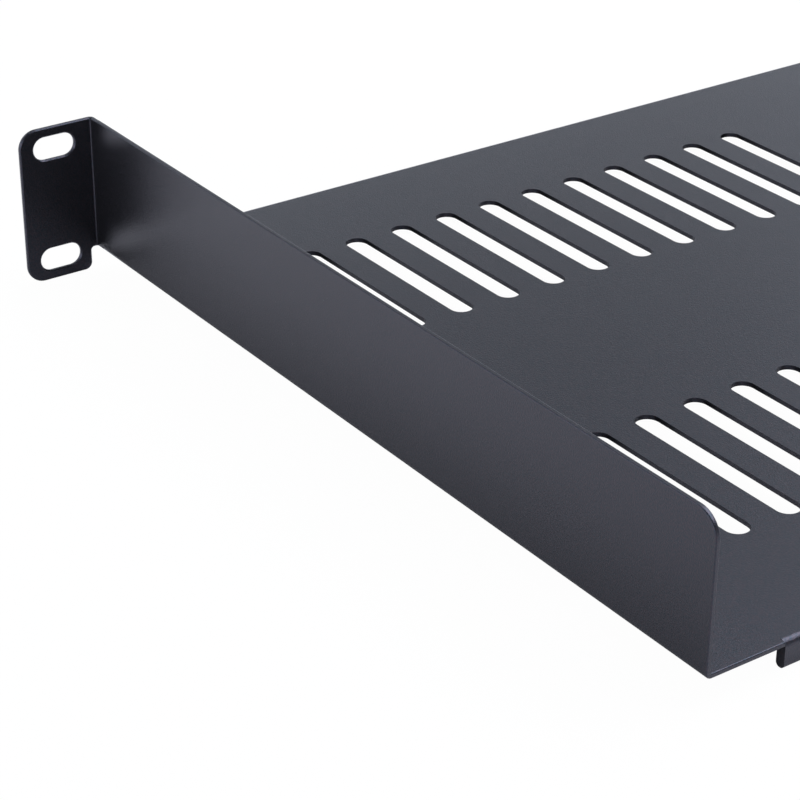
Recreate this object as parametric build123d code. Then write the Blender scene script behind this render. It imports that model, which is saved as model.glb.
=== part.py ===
from build123d import *
import os

# Vented shelf for a 19-inch rack, one rack unit high: one steel sheet, cut and folded.
# +X is to the right seen from the front of the rack, +Y runs to the rear, +Z is up, millimetres.
# The origin lies under the middle of the shelf, level with the lower edges of its ears and lips.

# Rack: where the screw slots of the two ears sit, and their size
HOLES_ACROSS = 465.12
HOLES_UP = 31.75
EAR_SLOT_LENGTH = 12.0
EAR_SLOT_WIDTH = 6.4

# Ears: from a slot's middle inwards to the side wall, outwards to the ear's edge and up to its top
HOLE_TO_WALL = 11.0
HOLE_TO_EDGE = 10.0
HOLE_TO_TOP = 5.775
EAR_CORNER = 5.0

# Foot of an ear: its inner lower corner, its gap to the side wall, and the corner above the gap
FOOT_CORNER = 2.0
FOOT_GAP = 1.8
NOTCH_CORNER = 1.0

# Sheet: thickness, inside radius of every bend, and the rounding or bevel of its cut edges
SHEET = 1.2
BEND_INSIDE = 0.4
EDGE_SOFT = 0.3

# Depth over everything, and the floor's front edge behind the ears' front
DEPTH = 250.0
FRONT_SETBACK = 4.2

# Floor's top face above the ears' lower edges, and the walls' rounded upper rear corner
FLOOR_TOP = 6.8
WALL_CORNER = 6.0

# Lips turned down along the front and the rear edge of the floor, each ending in a flattened hem:
# gap to the walls' outer faces, slit beside the bend, gap above the hem, and flat under its fold
LIP_SIDE_GAP = 21.3
LIP_SLIT = 0.2
HEM_GAP = 1.0
HEM_FLAT = 0.2

# Vents: in each row two groups of equal slots that run from front to rear. The gap to a wall is
# from its outer face to the first slot's middle, the others from the floor's edges to the slots
VENT_LENGTH = 54.0
VENT_WIDTH = 6.4
VENT_PITCH = 15.0
VENTS_IN_GROUP = 11
VENT_SIDE_GAP = 43.3
VENT_FRONT_GAP = 33.3
VENT_REAR_GAP = 36.3

# Positions that follow from the sizes
BEND_OUTSIDE = BEND_INSIDE + SHEET
FRONT = -DEPTH / 2
EAR_REAR = FRONT + SHEET
FLOOR_FRONT = FRONT + FRONT_SETBACK
FLOOR_REAR = DEPTH / 2
FLOOR_BOTTOM = FLOOR_TOP - SHEET
WALL_OUT = HOLES_ACROSS / 2 - HOLE_TO_WALL
WALL_IN = WALL_OUT - SHEET
EAR_OUT = HOLES_ACROSS / 2 + HOLE_TO_EDGE
EAR_HEIGHT = HOLES_UP + 2 * HOLE_TO_TOP
FOOT_IN = WALL_OUT + FOOT_GAP
NOTCH_TOP = FLOOR_TOP - SHEET / 2
LIP_END = WALL_OUT - LIP_SIDE_GAP
HEM_FOLD = SHEET - HEM_FLAT / 2

# How far a lip's stretch of floor runs into the floor
OVERLAP = 1.0


# A flat outline from its corners, each with its own corner radius
def outline(corners):
    points = [(a, b) for a, b, _ in corners]
    radii = [radius for _, _, radius in corners]
    return make_face(FilletPolyline(*points, radius=radii, close=True))


# Edges parallel to an axis whose middle has the given positions, on both halves of the shelf
def edges_at(shape, axis, **where):
    found = shape.edges().filter_by(axis)
    for name, value in where.items():
        found = [e for e in found if abs(abs(getattr(e.center(), name)) - abs(value)) < 0.01]
    return found


# Edges of a piece where the sheet was cut, to be rounded or bevelled. Edges across the sheet's
# thickness are left out, and so are those at the depth where the piece joins the rest
def cut_edges(piece, join_y):
    cut = []
    for edge in piece.edges():
        sides = [face.normal_at(edge @ 0.5) for face in piece.faces() if edge in face.edges()]
        box = edge.bounding_box()
        sharp = abs(sides[0].dot(sides[1])) < 0.5
        across = abs(edge.length - SHEET) < 0.01
        joined = max(abs(box.min.Y - join_y), abs(box.max.Y - join_y)) < 0.01
        if sharp and not across and not joined:
            cut.append(edge)
    return cut


# Floor with a wall folded up along each side
def make_channel():
    section = outline([
        (-WALL_OUT, EAR_HEIGHT, 0),
        (-WALL_OUT, FLOOR_BOTTOM, BEND_OUTSIDE),
        (WALL_OUT, FLOOR_BOTTOM, BEND_OUTSIDE),
        (WALL_OUT, EAR_HEIGHT, 0),
        (WALL_IN, EAR_HEIGHT, 0),
        (WALL_IN, FLOOR_TOP, BEND_INSIDE),
        (-WALL_IN, FLOOR_TOP, BEND_INSIDE),
        (-WALL_IN, EAR_HEIGHT, 0),
    ])
    channel = extrude(Plane.XZ * section, FLOOR_FRONT - FLOOR_REAR)
    channel = Pos(0, FLOOR_FRONT, 0) * channel
    channel = fillet(edges_at(channel, Axis.X, Y=FLOOR_REAR, Z=EAR_HEIGHT), WALL_CORNER)
    return fillet(cut_edges(channel, FLOOR_FRONT), EDGE_SOFT)


# Right ear: the front of the wall folded outwards, with the foot below the notch
def make_ear():
    section = outline([
        (WALL_OUT, FLOOR_FRONT, 0),
        (WALL_OUT, EAR_REAR, BEND_INSIDE),
        (EAR_OUT, EAR_REAR, 0),
        (EAR_OUT, FRONT, 0),
        (WALL_IN, FRONT, BEND_OUTSIDE),
        (WALL_IN, FLOOR_FRONT, 0),
    ])
    upper = Pos(0, 0, NOTCH_TOP) * extrude(section, EAR_HEIGHT - NOTCH_TOP)
    foot = Box(EAR_OUT - FOOT_IN, SHEET, NOTCH_TOP, align=(Align.MIN, Align.MIN, Align.MIN))
    ear = upper + Pos(FOOT_IN, FRONT, 0) * foot
    for x, z, radius in (
        (EAR_OUT, 0, EAR_CORNER),
        (EAR_OUT, EAR_HEIGHT, EAR_CORNER),
        (FOOT_IN, 0, FOOT_CORNER),
        (FOOT_IN, NOTCH_TOP, NOTCH_CORNER),
    ):
        ear = fillet(edges_at(ear, Axis.Y, X=x, Z=z), radius)
    slot = extrude(Plane.XZ * SlotOverall(EAR_SLOT_LENGTH, EAR_SLOT_WIDTH), SHEET, both=True)
    for z in (EAR_HEIGHT / 2 - HOLES_UP / 2, EAR_HEIGHT / 2 + HOLES_UP / 2):
        ear -= Pos(HOLES_ACROSS / 2, EAR_REAR, z) * slot
    return chamfer(cut_edges(ear, FLOOR_FRONT), EDGE_SOFT)


# Rear lip: the edge of the floor folded down, then folded back against itself and pressed flat,
# so that it is twice as thick below the gap
def make_rear_lip():
    start = FLOOR_REAR - BEND_OUTSIDE - OVERLAP
    hem_top = FLOOR_BOTTOM - HEM_GAP
    section = outline([
        (start, FLOOR_TOP, 0),
        (FLOOR_REAR, FLOOR_TOP, BEND_OUTSIDE),
        (FLOOR_REAR, 0, HEM_FOLD),
        (FLOOR_REAR - 2 * SHEET, 0, HEM_FOLD),
        (FLOOR_REAR - 2 * SHEET, hem_top, 0),
        (FLOOR_REAR - SHEET, hem_top, 0),
        (FLOOR_REAR - SHEET, FLOOR_BOTTOM, BEND_INSIDE),
        (start, FLOOR_BOTTOM, 0),
    ])
    return extrude(Plane.YZ * section, LIP_END, both=True)


# Front lip: the rear lip turned round and set along the floor's front edge
def make_front_lip(rear_lip):
    turned = Rot(0, 0, 180) * rear_lip
    return Pos(0, FLOOR_FRONT + FLOOR_REAR, 0) * turned


# Tools that cut the floor back to the bends of the two lips, with a slit beyond each end
def make_lip_gaps():
    gap = Box(2 * (LIP_END + LIP_SLIT), 2 * BEND_OUTSIDE, 4 * SHEET)
    return [Pos(0, y, FLOOR_TOP) * gap for y in (FLOOR_FRONT, FLOOR_REAR)]


# Tools that cut the vent slots
def make_vents():
    slot = extrude(SlotOverall(VENT_LENGTH, VENT_WIDTH, rotation=90), SHEET, both=True)
    front_row = FLOOR_FRONT + VENT_FRONT_GAP + VENT_LENGTH / 2
    rear_row = FLOOR_REAR - VENT_REAR_GAP - VENT_LENGTH / 2
    vents = []
    for y in (front_row, rear_row):
        for i in range(VENTS_IN_GROUP):
            x = WALL_OUT - VENT_SIDE_GAP - i * VENT_PITCH
            vents += [Pos(x, y, FLOOR_BOTTOM) * slot, Pos(-x, y, FLOOR_BOTTOM) * slot]
    return vents


def make_shelf():
    ear = make_ear()
    rear_lip = make_rear_lip()
    shelf = make_channel() - make_lip_gaps() - make_vents()
    return shelf + [ear, mirror(ear, Plane.YZ), rear_lip, make_front_lip(rear_lip)]


shelf = make_shelf()
shelf.label = "shelf"
os.makedirs("parts", exist_ok=True)
export_step(shelf, "parts/shelf.step")
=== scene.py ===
import math

import bpy
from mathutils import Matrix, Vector

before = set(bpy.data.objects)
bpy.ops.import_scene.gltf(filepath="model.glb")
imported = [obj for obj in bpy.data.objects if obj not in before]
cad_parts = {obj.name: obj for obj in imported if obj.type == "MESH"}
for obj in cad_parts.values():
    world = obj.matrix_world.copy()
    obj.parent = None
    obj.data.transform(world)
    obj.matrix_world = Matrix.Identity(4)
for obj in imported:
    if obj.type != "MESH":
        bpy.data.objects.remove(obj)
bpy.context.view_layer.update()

# Camera: place in metres, turn in degrees about X, Y and Z, lens and width of its image in
# millimetres, and the distance in metres beyond which it sees
CAMERA_AT = (0.49956, 0.41598, 0.28171)
CAMERA_TURN = (61.798, -0.222, 145.095)
LENS = 109.597
SENSOR = 36.0
CLIP_START = 0.01

# Powder coat: colour, refraction, mean roughness, and how far the grain changes the roughness
COAT_COLOUR = (0.0056, 0.0054, 0.0056, 1.0)
COAT_IOR = 1.57
COAT_ROUGHNESS = 0.29
ROUGHNESS_CHANGE = 0.03

# Grain of the coat: size and height in metres, layers of finer grain, and the share of each layer
GRAIN = 0.00035
GRAIN_HEIGHT = 0.00006
GRAIN_LAYERS = 2.0
GRAIN_SHARE = 0.6

# Flecks of tint in the coat's reflection: size in metres, layers of finer flecks, place in the
# endless pattern, and the stretch of the pattern's values that goes from cool to warm
FLECK = 0.0005
FLECK_LAYERS = 1.0
FLECK_PATTERN = 3.7
FLECK_COOL = 0.3
FLECK_WARM = 0.7

# Tint and strength of the reflection on cool and on warm flecks
COOL_TINT = (0.62, 0.765, 1.0, 1.0)
COOL_LEVEL = 0.46
WARM_TINT = (0.92, 0.745, 0.92, 1.0)
WARM_LEVEL = 0.54

# Floor: colour, a little warmer than the light, width, and depth below the object in metres
FLOOR_COLOUR = (0.93, 0.895, 0.88, 1.0)
FLOOR_WIDTH = 8.0
FLOOR_DROP = 0.0001

# White that the camera sees behind the object: colour, strength, and its share on the floor
WHITE = (1.0, 1.0, 1.0, 1.0)
WHITE_STRENGTH = 1.0
FLOOR_WHITE = 0.98

# Light: its colour, and how bright the open surroundings are
LIGHT_COLOUR = (0.94, 1.005, 1.115)
SKY = 0.25

# Soft boxes overhead: height and width in metres, and for each its name, place on X and Y, length
# and brightness
OVERHEAD = 1.0
BOX_WIDTH = 0.6
BOXES = (
    ("key", -BOX_WIDTH, BOX_WIDTH / 2, 2 * BOX_WIDTH, 5.8),
    ("fill", 0.0, -BOX_WIDTH / 2, 2 * BOX_WIDTH, 2.0),
    ("corner", -BOX_WIDTH, -BOX_WIDTH, BOX_WIDTH, 1.14),
)

# Panels that stand around the object: distance and width in metres, and for each its name, the
# side it stands on along X and Y, height and brightness
PANELS_AWAY = 1.5
PANEL_WIDTH = 3.0
PANEL_HEIGHT = 0.6
PANELS = (
    ("left", -1, 0, 2 * PANEL_HEIGHT, 0.74),
    ("right", 1, 0, PANEL_HEIGHT, 2.9),
    ("front", 0, -1, PANEL_HEIGHT, 0.93),
    ("rear", 0, 1, PANEL_HEIGHT, 0.3),
)

# Screen above the right half of the front panel
SCREEN_AT = (0.9, -PANELS_AWAY, 0.95)
SCREEN_WIDTH = 1.2
SCREEN_HEIGHT = 0.7
SCREEN_BRIGHTNESS = 1.0

# Directions that lights face
DOWN = (0.0, 0.0, -1.0)
TO_REAR = (0.0, 1.0, 0.0)


# A node of a material or world, with the values and links of its inputs
def add(tree, kind, inputs=None, **settings):
    node = tree.nodes.new(kind)
    for name, value in settings.items():
        setattr(node, name, value)
    for name, value in (inputs or {}).items():
        socket = node.inputs[name]
        if isinstance(value, bpy.types.NodeSocket):
            tree.links.new(value, socket)
        else:
            socket.default_value = value
    return node


# One where the camera sees a thing itself or through glass, and zero for all other rays
def seen(path):
    rays = {0: path.outputs["Is Camera Ray"], 1: path.outputs["Is Transmission Ray"]}
    return add(path.id_data, "ShaderNodeMath", rays, operation="MAXIMUM").outputs[0]


# An empty material and its nodes
def new_material(name):
    material = bpy.data.materials.new(name)
    material.use_nodes = True
    material.node_tree.nodes.clear()
    return material, material.node_tree


# Fine-textured powder coat, near black with a cool sheen
def make_coat():
    material, tree = new_material("powder_coat")
    place = add(tree, "ShaderNodeTexCoord").outputs["Object"]
    grain = add(tree, "ShaderNodeTexNoise", {
        "Vector": place,
        "Scale": 1 / GRAIN,
        "Detail": GRAIN_LAYERS,
        "Roughness": GRAIN_SHARE,
    })
    hue = add(tree, "ShaderNodeTexNoise", {
        "Vector": place,
        "W": FLECK_PATTERN,
        "Scale": 1 / FLECK,
        "Detail": FLECK_LAYERS,
    }, noise_dimensions="4D")
    shine = add(tree, "ShaderNodeMapRange", {
        "Value": grain.outputs["Fac"],
        "To Min": COAT_ROUGHNESS + ROUGHNESS_CHANGE,
        "To Max": COAT_ROUGHNESS - ROUGHNESS_CHANGE,
    })
    spread = add(tree, "ShaderNodeMapRange", {
        "Value": hue.outputs["Fac"],
        "From Min": FLECK_COOL,
        "From Max": FLECK_WARM,
    })
    level = add(tree, "ShaderNodeMapRange", {
        "Value": spread.outputs["Result"],
        "To Min": COOL_LEVEL,
        "To Max": WARM_LEVEL,
    })
    tint = add(tree, "ShaderNodeMix", {
        "Factor": spread.outputs["Result"],
        "A": COOL_TINT,
        "B": WARM_TINT,
    }, data_type="RGBA")
    bump = add(tree, "ShaderNodeBump", {
        "Height": grain.outputs["Fac"],
        "Strength": 1.0,
        "Distance": GRAIN_HEIGHT,
    })
    coat = add(tree, "ShaderNodeBsdfPrincipled", {
        "Base Color": COAT_COLOUR,
        "Roughness": shine.outputs["Result"],
        "IOR": COAT_IOR,
        "Specular IOR Level": level.outputs["Result"],
        "Specular Tint": tint.outputs[2],
        "Normal": bump.outputs["Normal"],
    })
    add(tree, "ShaderNodeOutputMaterial", {"Surface": coat.outputs["BSDF"]})
    return material


# White floor that keeps a soft shadow
def make_floor():
    material, tree = new_material("white_floor")
    lit = add(tree, "ShaderNodeBsdfDiffuse", {"Color": FLOOR_COLOUR})
    glow = add(tree, "ShaderNodeEmission", {"Color": WHITE, "Strength": WHITE_STRENGTH})
    path = add(tree, "ShaderNodeLightPath")
    share = add(tree, "ShaderNodeMath", {0: seen(path), 1: FLOOR_WHITE}, operation="MULTIPLY")
    mix = add(tree, "ShaderNodeMixShader", {
        0: share.outputs[0],
        1: lit.outputs[0],
        2: glow.outputs[0],
    })
    add(tree, "ShaderNodeOutputMaterial", {"Surface": mix.outputs[0]})
    bpy.ops.mesh.primitive_plane_add(size=FLOOR_WIDTH, location=(0.0, 0.0, -FLOOR_DROP))
    floor = bpy.context.object
    floor.name = "floor"
    floor.data.materials.append(material)


# Surroundings: a dim cool studio that looks white to the camera
def make_world():
    world = bpy.data.worlds.new("studio")
    world.use_nodes = True
    tree = world.node_tree
    tree.nodes.clear()
    path = add(tree, "ShaderNodeLightPath")
    studio = add(tree, "ShaderNodeBackground", {"Color": (*LIGHT_COLOUR, 1.0), "Strength": SKY})
    white = add(tree, "ShaderNodeBackground", {"Color": WHITE, "Strength": WHITE_STRENGTH})
    mix = add(tree, "ShaderNodeMixShader", {
        0: seen(path),
        1: studio.outputs[0],
        2: white.outputs[0],
    })
    add(tree, "ShaderNodeOutputWorld", {"Surface": mix.outputs[0]})
    bpy.context.scene.world = world


# A flat light of even brightness that faces a direction
def make_light(name, at, facing, width, height, brightness):
    light = bpy.data.lights.new(name, "AREA")
    light.shape = "RECTANGLE"
    light.size = width
    light.size_y = height
    light.color = LIGHT_COLOUR
    light.energy = math.pi * width * height * brightness
    holder = bpy.data.objects.new(name, light)
    holder.location = at
    holder.rotation_mode = "QUATERNION"
    holder.rotation_quaternion = (-Vector(facing)).to_track_quat("Z", "Y")
    holder.visible_camera = False
    bpy.context.collection.objects.link(holder)


# Three soft boxes overhead, a screen, and a ring of four panels
def make_lights():
    for name, x, y, length, brightness in BOXES:
        make_light(name, (x, y, OVERHEAD), DOWN, BOX_WIDTH, length, brightness)
    make_light("screen", SCREEN_AT, TO_REAR, SCREEN_WIDTH, SCREEN_HEIGHT, SCREEN_BRIGHTNESS)
    for name, x, y, height, brightness in PANELS:
        at = (PANELS_AWAY * x, PANELS_AWAY * y, height / 2)
        make_light(name, at, (-x, -y, 0), PANEL_WIDTH, height, brightness)


# Camera at the place that the photograph was taken from
def make_camera():
    data = bpy.data.cameras.new("camera")
    data.sensor_width = SENSOR
    data.lens = LENS
    data.clip_start = CLIP_START
    camera = bpy.data.objects.new("camera", data)
    camera.location = CAMERA_AT
    camera.rotation_euler = [math.radians(a) for a in CAMERA_TURN]
    bpy.context.collection.objects.link(camera)
    bpy.context.scene.camera = camera


make_camera()
make_world()
make_floor()
make_lights()
coat = make_coat()
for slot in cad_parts["shelf"].material_slots:
    slot.material = coat
bpy.context.scene.view_settings.view_transform = "Standard"
